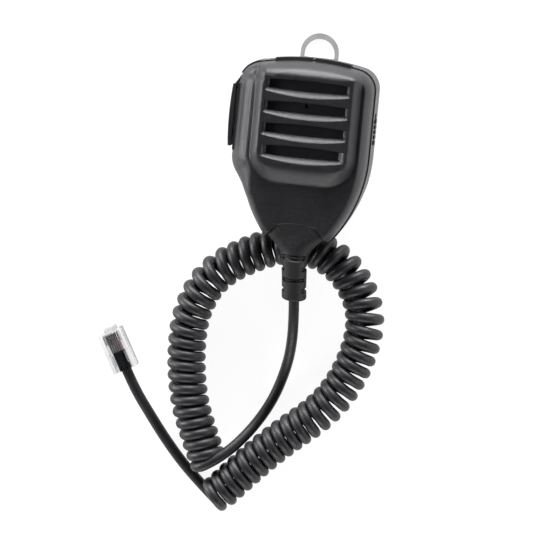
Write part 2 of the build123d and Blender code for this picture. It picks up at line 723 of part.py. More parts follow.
def fillet_radii(points):
    """Largest arc at each corner of a route that its two runs allow, with a tenth to spare."""
    radii = []
    for before, here, after in zip(points, points[1:], points[2:]):
        arrive = Vector(*here) - Vector(*before)
        leave = Vector(*after) - Vector(*here)
        turn = math.radians(arrive.get_angle(leave))
        radii.append(0.45 * min(arrive.length, leave.length) / math.tan(turn / 2))
    return radii


def tube(name, points, diameter):
    radii = fillet_radii(points)
    path = FilletPolyline(*points, radius=radii)
    start = Vector(*points[1]) - Vector(*points[0])
    solid = sweep(Plane(origin=points[0], z_dir=start) * Circle(diameter / 2), path=path)
    share = solid.volume / (math.pi * diameter**2 / 4 * path.length)
    print(name, "length", round(path.length, 1), "volume share", round(share, 4))
    print(name, "radii", [round(radius) for radius in radii])
    return solid


def plug_place():
    return Pos(*PLUG_REAR, 0) * Rot(0, 0, PLUG_HEADING)


def plug_shell():
    top = PLUG_BOTTOM + PLUG_HEIGHT
    half = PLUG_WIDTH / 2
    shell = box((0, -half, PLUG_BOTTOM), (PLUG_LENGTH - 1.8, half, top))
    shell = chamfer(shell.edges().filter_by(Axis.Z), 0.4)
    shell += box((PLUG_LENGTH - 2.4, -3.1, PLUG_BOTTOM + 0.4), (PLUG_LENGTH, 3.1, PLUG_BOTTOM + 2.4))
    shell -= box((-1, -4.4, PLUG_ENTRY_Z - 2.6), (9.2, 4.4, PLUG_ENTRY_Z + 2.6))
    shell -= box((9.0, -4.3, PLUG_ENTRY_Z - 0.7), (18.2, 4.3, PLUG_ENTRY_Z + 0.7))
    shell -= box((3.0, -3.1, PLUG_ENTRY_Z), (8.4, 3.1, top + 1))
    for i in range(8):
        y = (i - 3.5) * 1.02
        shell -= box((13.6, y - 0.2, PLUG_ENTRY_Z - 1.2), (18.6, y + 0.2, top + 1))
    return plug_place() * shell


def plug_contacts():
    top = PLUG_BOTTOM + PLUG_HEIGHT
    blades = []
    for i in range(8):
        y = (i - 3.5) * 1.02
        blades.append(plug_place() * box((14.0, y - 0.15, PLUG_ENTRY_Z + 0.75), (18.4, y + 0.15, top - 0.5)))
    return Compound(blades)


def plug_wedge():
    wedge = box((3.2, -3.0, PLUG_ENTRY_Z + 2.0), (8.2, 3.0, PLUG_BOTTOM + PLUG_HEIGHT - 0.3))
    return plug_place() * wedge


def plug_jacket():
    """The cord's end, flattened under the wedge."""
    jacket = box((0.0, -2.9, PLUG_ENTRY_Z - 2.3), (9.0, 2.9, PLUG_ENTRY_Z + 1.9))
    return plug_place() * fillet(jacket.edges().filter_by(Axis.X), 1.2)


def plug_wires():
    wires = []
    for i in range(6):
        y = (i - 2.5) * 1.02
        wires.append(plug_place() * rod((9.05, y, PLUG_ENTRY_Z), (17.8, y, PLUG_ENTRY_Z), 0.45))
    return Compound(wires)


def plug_latch():
    """Springy tongue under the plug, hinged at its nose."""
    side = Polyline(
        (LATCH_HINGE_X - 0.4, PLUG_BOTTOM - 0.15),
        (LATCH_HINGE_X + 0.5, PLUG_BOTTOM - 0.15),
        (LATCH_HINGE_X + 0.5, PLUG_BOTTOM - 0.9),
        (7.0, 0.25),
        (7.0, 1.15),
        (LATCH_HINGE_X - 1.2, PLUG_BOTTOM - 0.35),
        close=True,
    )
    tongue = extrude(Plane.XZ * make_face(side), 3.0, both=True)
    tongue -= box((5, 1.7, -1), (13.0, 5, 5)) + box((5, -5, -1), (13.0, -1.7, 5))
    return plug_place() * tongue


def make_parts():
    coil_points = [(x, y, COIL_DIAMETER / 2) for x, y in COIL_ROUTE]
    parts = {
        "front_case": front_case(),
        "rear_case": rear_case(),
        "case_screws": case_screws(),
        "hanger_plate": hanger_plate(),
        "hanger_screws": hanger_screws(),
        "ptt_lever": talk_lever(),
        "ptt_pin": lever_pin_hole(),
        "ptt_plunger": talk_plunger(),
        "ptt_spring": talk_spring(),
        "ptt_switch": talk_switch(),
        "key_switches": key_switches(),
        "lock_slider": lock_slider(),
        "lock_switch": lock_switch(),
        "circuit_board": circuit_board(),
        "board_screws": board_screws(),
        "capsule_holder": capsule_holder(),
        "mic_capsule": mic_capsule(),
        "dust_felt": dust_felt(),
        "capsule_leads": capsule_leads(),
        "board_socket": board_socket(),
        "harness_wires": harness_wires(),
        "cord_stub": cord_stub(),
        "cord_boot": cord_boot(),
        "cord_clamp": cord_clamp(),
        "clamp_screws": clamp_screws(),
        "cord_tail_boot": tube("cord_tail_boot", TAIL_BOOT_ROUTE, CORD_DIAMETER),
        "cord_coil": tube("cord_coil", coil_points, COIL_DIAMETER),
        "cord_tail_plug": tube("cord_tail_plug", TAIL_PLUG_ROUTE, CORD_DIAMETER),
        "plug_shell": plug_shell(),
        "plug_contacts": plug_contacts(),
        "plug_wedge": plug_wedge(),
        "plug_jacket": plug_jacket(),
        "plug_wires": plug_wires(),
        "plug_latch": plug_latch(),
    }
    parts.update(top_keys())
    return parts


os.makedirs("parts", exist_ok=True)
for name, shape in make_parts().items():
    export_step(shape, f"parts/{name}.step")
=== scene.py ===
import json
import math

import bpy
import numpy as np
from mathutils import Matrix, Vector


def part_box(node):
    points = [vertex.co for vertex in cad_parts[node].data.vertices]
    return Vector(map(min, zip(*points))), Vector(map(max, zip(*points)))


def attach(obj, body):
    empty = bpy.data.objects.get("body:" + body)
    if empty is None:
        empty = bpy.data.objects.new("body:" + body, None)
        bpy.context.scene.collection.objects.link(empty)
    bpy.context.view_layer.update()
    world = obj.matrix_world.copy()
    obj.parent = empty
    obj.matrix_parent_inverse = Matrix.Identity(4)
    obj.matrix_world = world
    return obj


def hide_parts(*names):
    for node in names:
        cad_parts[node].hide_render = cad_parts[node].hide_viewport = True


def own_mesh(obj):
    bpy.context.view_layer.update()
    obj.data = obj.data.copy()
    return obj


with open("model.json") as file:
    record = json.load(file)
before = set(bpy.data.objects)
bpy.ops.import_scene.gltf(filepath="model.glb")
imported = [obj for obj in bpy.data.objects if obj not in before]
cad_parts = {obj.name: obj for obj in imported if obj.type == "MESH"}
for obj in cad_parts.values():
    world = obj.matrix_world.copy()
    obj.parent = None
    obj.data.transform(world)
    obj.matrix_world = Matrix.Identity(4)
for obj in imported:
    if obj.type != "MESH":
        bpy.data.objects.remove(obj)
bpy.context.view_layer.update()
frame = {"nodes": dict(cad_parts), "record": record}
MM = 0.001

# ---------------------------------------------------------------- camera

CAMERA_PLACE = Vector((0.2297, 0.1697, 2.036))
CAMERA_AIM = Vector((-0.0111, -0.0591, 0.036))
CAMERA_LEAN = math.radians(5.4)
CAMERA_LENS = 300.0
CAMERA_SENSOR = 36.0
CAMERA_REACH = (0.1, 20.0)


def make_camera():
    """The photo's view: from above, a little from the upper right, with a slight lean."""
    data = bpy.data.cameras.new("camera")
    camera = bpy.data.objects.new("camera", data)
    bpy.context.scene.collection.objects.link(camera)
    back = (CAMERA_PLACE - CAMERA_AIM).normalized()
    up = Vector((-math.sin(CAMERA_LEAN), math.cos(CAMERA_LEAN), 0))
    right = up.cross(back).normalized()
    up = back.cross(right)
    turn = Matrix((right, up, back)).transposed()
    camera.matrix_world = Matrix.Translation(CAMERA_PLACE) @ turn.to_4x4()
    data.lens = CAMERA_LENS
    data.sensor_width = CAMERA_SENSOR
    data.clip_start, data.clip_end = CAMERA_REACH
    bpy.context.scene.camera = camera


# ---------------------------------------------------------------- cord

# In metres. The coil's turns are counted from straight up, the plug's heading is in degrees.
CORD_DIAMETER = 0.0049
COIL_RADIUS = 0.00675
COIL_HEIGHT = 0.0092
COIL_SLACK = 1.03
COIL_PITCH_LEAST = 0.00515
COIL_STEPS = 560
COIL_BEND_WINDOW = 12
COIL_FIRST_TURN = math.radians(60)
COIL_LAST_TURN = math.radians(85)
POINTS_PER_TURN = 14
# Fineness of the curves: a swept tube is coarser along its line than the line itself.
SPLINE_ORDER = 3
BEVEL_STEPS = 5
SWEEP_STEPS = 4
LINE_STEPS = 24
PLUG_HEADING = 118.9
WIRE_SPREAD = 0.0032

TAIL_BOOT_ROUTE = [
    (0.00125, -0.0745, 0.02163),
    (0.00196, -0.0861, 0.01916),
    (0.0008, -0.1, 0.0106),
    (-0.0019, -0.1118, 0.0046),
    (-0.0062, -0.1246, 0.0026),
    (-0.0123, -0.1358, 0.0052),
    (-0.0188, -0.1445, 0.0109),
    (-0.026, -0.1517, 0.0149),
    (-0.0352, -0.158, 0.0156),
]
COIL_ROUTE = [
    (-0.0327, -0.156),
    (-0.04, -0.1405),
    (-0.0455, -0.1251),
    (-0.0482, -0.1053),
    (-0.0476, -0.0865),
    (-0.0396, -0.0687),
    (-0.0245, -0.058),
    (-0.0021, -0.0484),
    (0.0199, -0.0561),
    (0.032, -0.0723),
    (0.0345, -0.0874),
    (0.0295, -0.1078),
    (0.019, -0.1256),
    (0.0002, -0.1413),
    (-0.014, -0.1556),
    (-0.0282, -0.1716),
]
TAIL_PLUG_ROUTE = [
    (-0.0252, -0.1772, 0.0025),
    (-0.0354, -0.1685, 0.0025),
    (-0.0456, -0.1591, 0.0025),
    (-0.0551, -0.1483, 0.0025),
    (-0.0633, -0.137, 0.0042),
    (-0.0705, -0.1263, 0.0073),
    (-0.0755, -0.1173, 0.0073),
]
PLUG_REAR = TAIL_PLUG_ROUTE[-1]


def spline_object(name, points, bevel=0.0):
    """A smooth curve steered by the points, round if it has a bevel."""
    curve = bpy.data.curves.new(name, "CURVE")
    curve.dimensions = "3D"
    curve.bevel_depth = bevel
    curve.bevel_resolution = BEVEL_STEPS
    curve.use_fill_caps = bevel > 0
    spline = curve.splines.new("NURBS")
    spline.points.add(len(points) - 1)
    for point, place in zip(spline.points, points):
        point.co = (*place, 1.0)
    spline.order_u = SPLINE_ORDER
    spline.use_endpoint_u = True
    spline.resolution_u = SWEEP_STEPS if bevel else LINE_STEPS
    thing = bpy.data.objects.new(name, curve)
    bpy.context.scene.collection.objects.link(thing)
    return thing


def spline_mesh(name, points, bevel=0.0):
    """The mesh of that curve."""
    curve = spline_object(name, points, bevel)
    bpy.context.view_layer.update()
    mesh = bpy.data.meshes.new_from_object(curve)
    bpy.data.objects.remove(curve)
    return mesh


def spline_line(points):
    """The smooth line of a route, as points close together."""
    mesh = spline_mesh("route_line", points)
    line = [vertex.co.copy() for vertex in mesh.vertices]
    bpy.data.meshes.remove(mesh)
    return line


def round_tube(name, points, diameter):
    """A round tube swept along the smooth line of the points."""
    mesh = spline_mesh(name + "_sweep", points, diameter / 2)
    mesh.shade_smooth()
    tube = bpy.data.objects.new(name, mesh)
    bpy.context.scene.collection.objects.link(tube)
    return tube


def even_steps(line, count):
    """The same line as count equal steps."""
    reach = [0.0]
    for start, end in zip(line, line[1:]):
        reach.append(reach[-1] + (end - start).length)
    places, index = [], 0
    for step in range(count + 1):
        target = reach[-1] * step / count
        while index < len(line) - 2 and reach[index + 1] < target:
            index += 1
        share = (target - reach[index]) / max(reach[index + 1] - reach[index], 1e-9)
        places.append(line[index].lerp(line[index + 1], min(max(share, 0.0), 1.0)))
    return places, reach[-1] / count


def helix_pitches(line, step):
    """Distance from turn to turn at every point of the coil's middle line: turns that nearly touch
    on the inner side, so they open where the line bends."""
    pitches = []
    for i in range(len(line)):
        low = max(i - COIL_BEND_WINDOW, 0)
        high = min(i + COIL_BEND_WINDOW, len(line) - 1)
        middle = (low + high) // 2
        arrive, leave = line[middle] - line[low], line[high] - line[middle]
        bend = (high - low) * step / 2 / max(arrive.angle(leave), 1e-4)
        pitches.append(max(COIL_PITCH_LEAST, CORD_DIAMETER * COIL_SLACK / (1 - COIL_RADIUS / bend)))
    return pitches


def helix_points():
    """Left-handed turns round the coil's middle line."""
    line, step = even_steps(spline_line([(x, y, COIL_HEIGHT) for x, y in COIL_ROUTE]), COIL_STEPS)
    pitches = helix_pitches(line, step)
    turns = sum(step / pitch for pitch in pitches)
    total = round(turns) * 2 * math.pi + COIL_LAST_TURN - COIL_FIRST_TURN
    gap = 2 * math.pi / POINTS_PER_TURN
    radius = COIL_RADIUS / math.cos(gap / 2)
    up = Vector((0, 0, 1))
    phase, points = 0.0, []
    for i, place in enumerate(line):
        angle = COIL_FIRST_TURN + phase / turns * total
        if angle - COIL_FIRST_TURN >= len(points) * gap:
            ahead = (line[min(i + 1, len(line) - 1)] - line[max(i - 1, 0)]).normalized()
            points.append(place + radius * (math.cos(angle) * up + math.sin(angle) * up.cross(ahead)))
        phase += step / pitches[i]
    return points


def make_cord():
    """The whole cord as one tube, and the smooth line that it is swept along."""
    points = [Vector(place) for place in TAIL_BOOT_ROUTE] + helix_points()
    points += [Vector(place) for place in TAIL_PLUG_ROUTE]
    cord = round_tube("cord", points, CORD_DIAMETER)
    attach(cord, "microphone")
    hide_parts("cord_tail_boot", "cord_coil", "cord_tail_plug")
    return cord, spline_line(points)


# ---------------------------------------------------------------- mesh helpers


def mesh_object(name, verts, faces, smooth_angle=32.0):
    """A mesh in millimetres, smooth except across sharp edges."""
    mesh = bpy.data.meshes.new(name)
    mesh.from_pydata([(x * MM, y * MM, z * MM) for x, y, z in verts], [], faces)
    mesh.validate()
    mesh.shade_smooth()
    mesh.set_sharp_from_angle(angle=math.radians(smooth_angle))
    thing = bpy.data.objects.new(name, mesh)
    bpy.context.scene.collection.objects.link(thing)
    return thing


def ring_faces(rings, around):
    """Quads between closed rings that each hold the same number of points."""
    faces = []
    for ring in range(rings - 1):
        low = ring * around
        for i in range(around):
            j = (i + 1) % around
            faces.append((low + i, low + j, low + around + j, low + around + i))
    return faces


def arc(centre, radius, start, end, count):
    """Points of an arc, angles in degrees."""
    points = []
    for step in range(count + 1):
        angle = math.radians(start + (end - start) * step / count)
        points.append((centre[0] + radius * math.cos(angle), centre[1] + radius * math.sin(angle)))
    return points


def smooth_step(value):
    """0 up to 0, 1 from 1 on, and a soft curve between them."""
    value = np.clip(value, 0.0, 1.0)
    return value * value * (3 - 2 * value)


def rise(value, band):
    """0 below the band, 1 above it."""
    return smooth_step((value - band[0]) / (band[1] - band[0]))


def fall(value, band):
    """1 below the band, 0 above it."""
    return smooth_step((band[1] - value) / (band[1] - band[0]))


def resample(points, count):
    """The polyline as count even steps."""
    line = np.array(points, float)
    reach = np.concatenate([[0], np.cumsum(np.linalg.norm(np.diff(line, axis=0), axis=1))])
    wanted = np.linspace(0, reach[-1], count + 1)
    x, y = (np.interp(wanted, reach, line[:, k]) for k in (0, 1))
    return np.stack([x, y], axis=1)


def nearest(line, target):
    """Index of the line's point nearest to the target."""
    return int(np.argmin(np.hypot(line[:, 0] - target[0], line[:, 1] - target[1])))


def distance_to(points, line):
    """Distance of each point to a polyline."""
    best = np.full(len(points), 1e9)
    for start, end in zip(line[:-1], line[1:]):
        along = end - start
        share = np.clip(((points - start) @ along) / max(along @ along, 1e-12), 0, 1)
        gap = points - (start + share[:, None] * along)
        best = np.minimum(best, np.hypot(gap[:, 0], gap[:, 1]))
    return best


# ---------------------------------------------------------------- front shell

# In millimetres. Heights of the parting line, the face and the pad, and the face's bow.
PARTING = 20.0
FACE_HEIGHT = 31.9
FACE_BOW = 0.9
FACE_BOW_HALF = 24
PAD_HEIGHT = 36.0
# Outline: arcs of the corners, crown and sides, the bite for the collar, and the lever's pod.
CORNER_CENTRE = (19.7, 24.0)
CORNER_RADIUS = 9.4
CROWN_RADIUS = 107.4
CROWN_CENTRE_Y = -72.03
CORNER_TURN = 78.4
SIDE_RADIUS = 64.27
SIDE_CENTRE = (-35.17, -6.0)
FOOT_TURN = -38.0
POD_TURN = -23.5
BITE_FOOT = (14.8, -46.0)
BITE_CORNER = (13.4, -44.8)
BITE_SHOULDER = (9.2, -40.2)
BITE_TOP = -39.0
BITE_CROWN = 1.2
BITE_CROWN_HALF = 8.0
BITE_ROUND = 0.5
BITE_DROP = 26.0
POD_OUTLINE = [
    (-23.6, 32.9),
    (-27.2, 31.8),
    (-30.3, 29.8),
    (-32.5, 26.8),
    (-33.4, 23.2),
    (-33.5, 12.0),
    (-33.6, 0.0),
    (-33.8, -8.6),
    (-33.6, -12.8),
    (-32.5, -16.4),
    (-29.9, -20.3),
    (-27.6, -23.6),
    (-26.1, -27.0),
]
# Bay that the talk lever swings into.
LEVER_BAY = (-8.5, 22.5)
LEVER_BAY_SIDE = -31.0
LEVER_BAY_TOP = 22.9
# Shoulders and the face's features. A pair of places is a band in which a feature fades in or out.
SHOULDER_WIDTH = 4.2
POD_WIDTH = 8.6
SHOULDER_POWER = 2.3
POD_POWER_LOSS = 0.85
POD_X, POD_LOW, POD_HIGH = (-22.0, -8.0), (-27.0, -13.0), (26.5, 33.5)
FLANK_X, FLANK_LOW, FLANK_HIGH = (12.0, 20.0), (-24.0, -8.0), (28.0, 33.0)
FLANK_DROP = 0.4
RIDGE_HEIGHT, RIDGE_INSET, RIDGE_WIDTH = 1.1, 3.3, 1.5
FLUTE_LOW, FLUTE_HIGH = (-13.0, -4.0), (22.5, 27.5)
FLUTE_NEAR, FLUTE_FAR = (0.0, 1.2), (6.9, 8.4)
FLUTE_DEPTH, FLUTE_FIRST, FLUTE_PITCH = 0.2, 1.1, 3.1
GROOVE_LOW, GROOVE_HIGH = (-16.0, -8.0), (27.0, 31.0)
GROOVE_DEPTH, GROOVE_X, GROOVE_WIDTH = 0.35, -24.9, 1.1
# Raised pad: its outline, its corners, and how far its edge rolls over.
PAD_HALF = 24.3
PAD_TOP = 34.3
PAD_BOTTOM = -20.8
PAD_CORNER_LOW = 14.0
PAD_CORNER_HIGH = 6.0
PAD_CORNER_SPLIT = 8
PAD_ROLL = 4.0
PAD_ROLL_LOW = 5.0
PAD_ROLL_HIGH = 2.0
PAD_ROLL_SOFT = 0.4
# The pad's slots, from the top down, with the rows and columns of points that follow them.
SLOT_CENTRES = (24.2, 14.1, 4.0, -6.1)
SLOT_HALVES = (19.2, 19.2, 19.2, 18.0)
SLOT_WIDEST = 19.2
# Edges of a slot: distance from its centre line at the ends, and how much more in the middle.
SLOT_TOP, SLOT_FOOT, SLOT_LIP = (2.2, 0.7), (-1.05, -1.0), (-3.1, -2.0)
SLOT_DEPTH = 2.5
SLOT_END_EASE = 1.6
SLOT_END_REACH = 1.5
SLOT_END_OVERRUN = 0.25
LIP_EASE = 1.35
WALL_FOOT = 0.4
WALL_STEPS = (0.7, 0.3, 0.12, 0.03, -0.02, -0.06, -0.1, -0.16, -WALL_FOOT)
WALL_BAND = (-0.16, 0.14)
FLOOR_STEPS = (0.25, 0.5, 0.75, 0.93)
LIP_STEPS = (0.0, 0.06, 0.2, 0.4, 0.6, 0.8, 0.92, 1.0, 1.08, 1.25)
RIB_STEPS = (0.35, 0.65)
SLOT_ROWS = (("wall", WALL_STEPS), ("floor", FLOOR_STEPS), ("lip", LIP_STEPS), ("rib", RIB_STEPS))
SLOT_COLUMNS_END = 19.3
END_COLUMNS_START = 19.45
END_COLUMNS = (0.0, 0.3, 0.62, 0.8, 0.95, 1.1, 1.35, 1.6, 1.85, 2.0, 2.15, 2.5)
MIDDLE_COLUMNS = (0.0, 0.2, 0.4, 0.6)
EVEN_COLUMNS = (0.8, 16.4, 34)
RIM_COLUMNS = (19.7, 20.1)
PINHOLE_SLOT = 1
PINHOLE_DEPTH = 1.6
PINHOLE_RADIUS = 0.25
PATCH_LOW = -11.6
PATCH_HIGH = 28.1
# Rings of points from the patch out to the outline, and where the outline's four spans meet.
SHELL_RINGS = 64
SHELL_RING_EASE = 1.9
SHELL_CORNERS = ((27.0, -22.0), (27.2, 30.0), (-29.5, 30.0), (-27.0, -23.0))
ON_BITE = 0.02
PARTING_LAP = 0.02
LEVER_BAY_LAP = 0.05
# Share of each edge that one round of softening cuts off.
CORNER_CUT = 0.25


def shell_sides():
    """The front shell's outline at the parting line, from the right foot round to the left foot."""
    right = arc(SIDE_CENTRE, SIDE_RADIUS, FOOT_TURN, 0, count=30)
    right += arc(CORNER_CENTRE, CORNER_RADIUS, 0, CORNER_TURN, count=16)
    right += arc((0, CROWN_CENTRE_Y), CROWN_RADIUS, CORNER_TURN, 180 - CORNER_TURN, count=24)[1:]
    left = [(-x, y) for x, y in arc(SIDE_CENTRE, SIDE_RADIUS, FOOT_TURN, POD_TURN, count=14)][::-1]
    smooth = [tuple(point) for point in soften(right[-1:] + POD_OUTLINE + left[:1], rounds=4)]
    return np.array(right + smooth[1:-1] + left)


def over_lever(points):
    """Which points lie above the talk lever's bay. The shell ends higher there, as the lever swings in."""
    x, y = points[:, 0], points[:, 1]
    return (x < LEVER_BAY_SIDE) & (y > LEVER_BAY[0]) & (y < LEVER_BAY[1])


def soften(points, rounds):
    """Corner cutting that keeps the two ends."""
    line = [np.array(point, float) for point in points]
    for _ in range(rounds):
        cut = [line[0]]
        for start, end in zip(line, line[1:]):
            cut.append(start * (1 - CORNER_CUT) + end * CORNER_CUT)
            cut.append(start * CORNER_CUT + end * (1 - CORNER_CUT))
        line = cut + [line[-1]]
    return line


def bite_line():
    """Edge of the curved bite for the cord collar, from the left foot to the right foot."""
    left = [(-x, y) for x, y in (BITE_FOOT, BITE_CORNER, BITE_SHOULDER)]
    across = np.linspace(-BITE_CROWN_HALF, BITE_CROWN_HALF, 11)
    crown = [(x, BITE_TOP - BITE_CROWN * (x / BITE_SHOULDER[0]) ** 2) for x in across]
    right = [(-x, y) for x, y in left][::-1]
    return np.array(soften(left + crown + right, rounds=2))


def pad_distance(x, y):
    """Distance inside the pad's outline, and how far its edge rolls over in that direction."""
    radius = np.where(y < PAD_CORNER_SPLIT, PAD_CORNER_LOW, PAD_CORNER_HIGH)
    middle = (PAD_TOP + PAD_BOTTOM) / 2
    dx = np.abs(x) - (PAD_HALF - radius)
    dy = np.abs(y - middle) - ((PAD_TOP - PAD_BOTTOM) / 2 - radius)
    outside = np.hypot(np.maximum(dx, 0), np.maximum(dy, 0))
    inside = np.minimum(np.maximum(dx, dy), 0)
    steer = smooth_step(np.arctan2(np.maximum(dy, 0.0), np.maximum(dx, 1e-6)) / (math.pi / 2))
    across = PAD_ROLL + np.where(y < middle, PAD_ROLL_LOW, PAD_ROLL_HIGH) * steer
    return radius - outside - inside, across


def pad_lift(x, y):
    """Distance inside the pad's outline, and the share of the pad's height reached there."""
    gap, across = pad_distance(x, y)
    roll = np.clip(gap / across, 0, 1)
    return gap, PAD_ROLL_SOFT * smooth_step(roll) + (1 - PAD_ROLL_SOFT) * (1 - (1 - roll) ** 2)


def face_surface(x):
    """Height of the bowed face round the pad."""
    return FACE_HEIGHT - FACE_BOW * (x / FACE_BOW_HALF) ** 2


def pad_surface(x, y):
    """Height of the pad before its slots are cut."""
    face = face_surface(x)
    return face + (PAD_HEIGHT - face) * pad_lift(x, y)[1]


def front_height(points, sides, bite):
    """Height of the shell round the slotted patch: rolled shoulders, the wider fluted pod on the left with
    a groove beside the pad, the ridge along the right flank, the pad's edge and the rounded bite."""
    x, y = points[:, 0], points[:, 1]
    inward = distance_to(points, sides)
    pod = fall(x, POD_X) * rise(y, POD_LOW) * fall(y, POD_HIGH)
    flank = rise(x, FLANK_X) * rise(y, FLANK_LOW) * fall(y, FLANK_HIGH)
    ridge = RIDGE_HEIGHT * np.exp(-(((inward - RIDGE_INSET) / RIDGE_WIDTH) ** 2)) * flank
    face = face_surface(x) - FLANK_DROP * flank + ridge

    width = SHOULDER_WIDTH + (POD_WIDTH - SHOULDER_WIDTH) * pod
    power = SHOULDER_POWER - POD_POWER_LOSS * pod
    inset = np.clip(inward / width, 0, 1)
    height = PARTING + (face - PARTING) * (1 - (1 - inset) ** power) ** (1 / power)

    along = rise(y, FLUTE_LOW) * fall(y, FLUTE_HIGH) * pod
    wave = np.cos((inward - FLUTE_FIRST) * 2 * math.pi / FLUTE_PITCH)
    height -= FLUTE_DEPTH * (1 - wave) * along * (rise(inward, FLUTE_NEAR) * fall(inward, FLUTE_FAR))
    groove = np.exp(-(((x - GROOVE_X) / GROOVE_WIDTH) ** 2)) * rise(y, GROOVE_LOW) * fall(y, GROOVE_HIGH)
    height -= GROOVE_DEPTH * groove

    gap, lift = pad_lift(x, y)
    pad = face + (PAD_HEIGHT - face) * lift
    height = np.where(gap > 0, np.maximum(np.minimum(pad, height + (pad - face)), height), height)
    edge = np.clip(distance_to(points, bite) / BITE_ROUND, 0, 1)
    return height - BITE_ROUND * (1 - np.sqrt(1 - (1 - edge) ** 2))


def slot_curves(slot, x):
    """Top edge, foot of the lip and outer edge of the lip at x."""
    bulge = np.clip(1 - (x / SLOT_HALVES[slot]) ** 2, 0, 1)
    return [SLOT_CENTRES[slot] + ends + more * bulge for ends, more in (SLOT_TOP, SLOT_FOOT, SLOT_LIP)]


def patch_columns():
    """The x of every column of the patch, closer together towards the slots' ends and at the pinhole."""
    outer = list(RIM_COLUMNS) + [END_COLUMNS_START - step for step in END_COLUMNS]
    middle = list(np.linspace(*EVEN_COLUMNS)) + list(MIDDLE_COLUMNS)
    half = sorted(set(round(x, 3) for x in middle + outer))
    return np.array([-x for x in half[::-1] if x > 0] + half)


def patch_row(x, y, depth=0.0):
    """A row of points this deep under the pad's surface."""
    return np.stack([x, y, pad_surface(x, y) - depth], axis=1)


def slot_row(kind, slot, share, columns):
    """One row along a slot: on its upper wall, floor or sloped lip, or on the rib below it."""
    shrink = SLOT_HALVES[slot] / SLOT_WIDEST
    if kind == "rib":
        shrink = shrink * (1 - share) + SLOT_HALVES[slot + 1] / SLOT_WIDEST * share
    x = np.where(np.abs(columns) > SLOT_COLUMNS_END, columns, columns * shrink)
    top, foot, lip = slot_curves(slot, x)
    if kind == "rib":
        return patch_row(x, lip + (slot_curves(slot + 1, x)[0] - lip) * share)
    if kind == "wall":
        y = top + share
        depth = SLOT_DEPTH * fall(share, WALL_BAND)
    elif kind == "floor":
        y = top - WALL_FOOT + (foot - top + WALL_FOOT) * share
        depth = SLOT_DEPTH
    else:
        y = foot + (lip - foot) * share
        depth = SLOT_DEPTH * (1 - min(share, 1.0)) ** LIP_EASE
    end = np.clip((SLOT_HALVES[slot] + SLOT_END_OVERRUN - np.abs(x)) / SLOT_END_REACH, 0, 1)
    depth = np.minimum(depth, SLOT_DEPTH * (1 - (1 - end) ** SLOT_END_EASE))
    if slot == PINHOLE_SLOT and kind == "floor" and share == FLOOR_STEPS[0]:
        depth = depth + PINHOLE_DEPTH * np.clip(3 - np.abs(x) / PINHOLE_RADIUS, 0, 1)
    return patch_row(x, y, depth)


def patch_grid():
    """The flat of the pad with its four slots, as rows of points that follow the slots' own edges."""
    columns = patch_columns()
    grid = [patch_row(columns, np.full(len(columns), PATCH_HIGH))]
    for slot in range(len(SLOT_CENTRES)):
        for kind, steps in SLOT_ROWS:
            if kind != "rib" or slot + 1 < len(SLOT_CENTRES):
                grid += [slot_row(kind, slot, share, columns) for share in steps]
    grid.append(patch_row(columns, np.full(len(columns), PATCH_LOW)))
    return np.array(grid)


def shell_outline(sides, bite, counts):
    """The shell's whole outline, with as many steps along each side as the patch's border has."""
    low_right, high_right, high_left, low_left = (nearest(sides, corner) for corner in SHELL_CORNERS)
    spans = [
        sides[low_right : high_right + 1],
        sides[high_right : high_left + 1],
        sides[high_left : low_left + 1],
        np.vstack([sides[low_left:], bite[1:-1], sides[: low_right + 1]]),
    ]
    return np.vstack([resample(span, count)[:-1] for span, count in zip(spans, counts)])


def add_ring(verts, faces, previous, places, heights):
    """One more ring of points, joined to the ring before it."""
    ring = list(range(len(verts), len(verts) + len(previous)))
    verts += [(place[0], place[1], height) for place, height in zip(places, heights)]
    for i in range(len(ring)):
        j = (i + 1) % len(ring)
        faces.append((previous[i], ring[i], ring[j], previous[j]))
    return ring


def front_shell():
    """The front case: the slotted patch, rings from its border out to the outline, and the edge below."""
    grid = patch_grid()
    rows, columns = grid.shape[:2]
    verts = [tuple(point) for row in grid for point in row]
    faces = []
    for r in range(rows - 1):
        for c in range(columns - 1):
            a = r * columns + c
            faces.append((a, a + columns, a + columns + 1, a + 1))
    right = [r * columns + columns - 1 for r in range(rows)][::-1]
    top = list(range(columns))[::-1]
    left = [r * columns for r in range(rows)]
    bottom = [(rows - 1) * columns + c for c in range(columns)]
    ring = right[:-1] + top[:-1] + left[:-1] + bottom[:-1]

    sides, bite = shell_sides(), bite_line()
    outline = shell_outline(sides, bite, [rows - 1, columns - 1, rows - 1, columns - 1])
    inner = np.array([verts[i][:2] for i in ring])
    for step in range(1, SHELL_RINGS + 1):
        share = 1 - (1 - step / SHELL_RINGS) ** SHELL_RING_EASE
        places = inner + (outline - inner) * share
        heights = front_height(places, sides, bite)
        heights = np.where(over_lever(places), np.maximum(heights, LEVER_BAY_TOP), heights)
        ring = add_ring(verts, faces, ring, places, heights)
    edge = np.where(distance_to(outline, bite) < ON_BITE, BITE_DROP, PARTING - PARTING_LAP)
    edge = np.where(over_lever(outline), LEVER_BAY_TOP - LEVER_BAY_LAP, edge)
    add_ring(verts, faces, ring, outline, edge)
    return mesh_object("front_shell", verts, faces, smooth_angle=40)


# ---------------------------------------------------------------- cord boot and spring

# In millimetres: from the collar's front to the neck, then the strain relief on its own axis.
BOOT_FRONT = -38.8
BOOT_NECK = -54.0
BOOT_AXIS = 26.0
BOOT_REACH = 20.4
BOOT_DROOP = math.radians(12.0)
BOOT_SWAY = math.radians(3.5)
